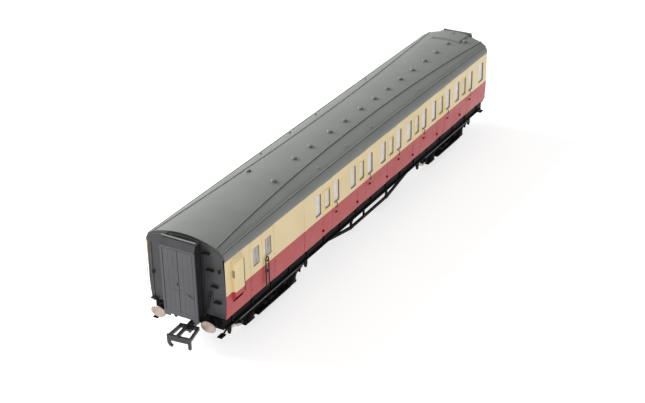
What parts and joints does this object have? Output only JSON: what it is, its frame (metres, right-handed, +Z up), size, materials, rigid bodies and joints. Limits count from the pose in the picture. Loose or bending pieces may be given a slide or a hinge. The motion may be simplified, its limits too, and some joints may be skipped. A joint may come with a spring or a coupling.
{
  "type": "model railway passenger coach",
  "caption": "Scale model corridor coach with a luggage and brake end, on swivelling four-wheel bogies with hook-and-bar couplings.",
  "frame": {"origin": "centre of the coach in plan, on the plane that the wheel flanges stand on", "axes": "+X along the coach from the brake end to the lavatory end, +Y towards the corridor side, +Z up"},
  "size_m": [0.2606, 0.039, 0.051],
  "materials": {
    "body_paint": "printed cream above the waist and crimson below it, satin",
    "end_paint": "dark grey, matt",
    "roof_paint": "mid grey, matt",
    "glazing": "clear polystyrene, gloss",
    "interior_tan": "tan, matt",
    "seat_red": "dull red brown, matt",
    "ballast_steel": "plain mild steel",
    "frame_black": "black, satin",
    "bellows_black": "black, matt",
    "wire_black": "black, gloss",
    "buffer_metal": "dull nickel plate",
    "wheel_metal": "blackened nickel with bright treads",
    "pivot_steel": "plated steel"
  },
  "bodies": {
    "coach_body": {"compartment_side": "body_paint", "corridor_side": "body_paint", "brake_end_wall": "end_paint", "lavatory_end_wall": "end_paint", "roof": "roof_paint", "rain_strips": "roof_paint", "roof_vents": "roof_paint", "tank_cover": "roof_paint", "compartment_glazing": "glazing", "corridor_glazing": "glazing", "interior": "interior_tan", "seats": "seat_red", "ballast_plate": "ballast_steel", "underframe_floor": "frame_black", "solebar_compartment": "frame_black", "solebar_corridor": "frame_black", "headstock_brake": "frame_black", "headstock_lavatory": "frame_black", "truss_compartment": "frame_black", "truss_corridor": "frame_black", "battery_boxes": "frame_black", "vacuum_cylinders": "frame_black", "corner_steps": "frame_black", "buffers_brake": "buffer_metal", "buffers_lavatory": "buffer_metal", "gangway_brake": "bellows_black", "gangway_lavatory": "bellows_black", "gangway_doors_brake": "end_paint", "gangway_doors_lavatory": "end_paint", "end_fittings_brake": "frame_black", "end_fittings_lavatory": "frame_black", "ducket_compartment": "body_paint", "ducket_corridor": "body_paint", "grab_rails": "wire_black", "bogie_pivot_brake": "pivot_steel", "bogie_pivot_lavatory": "pivot_steel"},
    "bogie_brake": {"bogie_frame_brake": "frame_black"},
    "bogie_lavatory": {"bogie_frame_lavatory": "frame_black"},
    "wheelset_1": {"wheelset_1": "wheel_metal"},
    "wheelset_2": {"wheelset_2": "wheel_metal"},
    "wheelset_3": {"wheelset_3": "wheel_metal"},
    "wheelset_4": {"wheelset_4": "wheel_metal"},
    "coupling_brake": {"coupling_brake": "frame_black"},
    "coupling_lavatory": {"coupling_lavatory": "frame_black"},
    "hook_brake": {"coupling_hook_brake": "frame_black"},
    "hook_lavatory": {"coupling_hook_lavatory": "frame_black"}
  },
  "joints": [
    {"name": "bogie_brake_swivel", "type": "hinge", "parent": "coach_body", "child": "bogie_brake", "pos_m": [-0.081, 0, 0.011], "axis": [0, 0, 1], "range_deg": [-10, 10]},
    {"name": "bogie_lavatory_swivel", "type": "hinge", "parent": "coach_body", "child": "bogie_lavatory", "pos_m": [0.081, 0, 0.011], "axis": [0, 0, 1], "range_deg": [-10, 10]},
    {"name": "wheelset_1_spin", "type": "hinge", "parent": "bogie_brake", "child": "wheelset_1", "pos_m": [-0.097, 0, 0.008], "axis": [0, 1, 0], "continuous": true},
    {"name": "wheelset_2_spin", "type": "hinge", "parent": "bogie_brake", "child": "wheelset_2", "pos_m": [-0.065, 0, 0.008], "axis": [0, 1, 0], "continuous": true},
    {"name": "wheelset_3_spin", "type": "hinge", "parent": "bogie_lavatory", "child": "wheelset_3", "pos_m": [0.065, 0, 0.008], "axis": [0, 1, 0], "continuous": true},
    {"name": "wheelset_4_spin", "type": "hinge", "parent": "bogie_lavatory", "child": "wheelset_4", "pos_m": [0.097, 0, 0.008], "axis": [0, 1, 0], "continuous": true},
    {"name": "coupling_brake_swing", "type": "hinge", "parent": "coach_body", "child": "coupling_brake", "pos_m": [-0.1115, 0, 0.0098], "axis": [0, 0, 1], "range_deg": [-22, 8]},
    {"name": "hook_brake_lift", "type": "hinge", "parent": "coupling_brake", "child": "hook_brake", "pos_m": [-0.12143, -0.00122, 0.0098], "axis": [-0.1219, 0.9925, 0], "range_deg": [0, 25]},
    {"name": "coupling_lavatory_swing", "type": "hinge", "parent": "coach_body", "child": "coupling_lavatory", "pos_m": [0.1115, 0, 0.0098], "axis": [0, 0, 1], "range_deg": [-22, 8]},
    {"name": "hook_lavatory_lift", "type": "hinge", "parent": "coupling_lavatory", "child": "hook_lavatory", "pos_m": [0.12143, 0.00122, 0.0098], "axis": [0.1219, -0.9925, 0], "range_deg": [0, 25]}
  ]
}
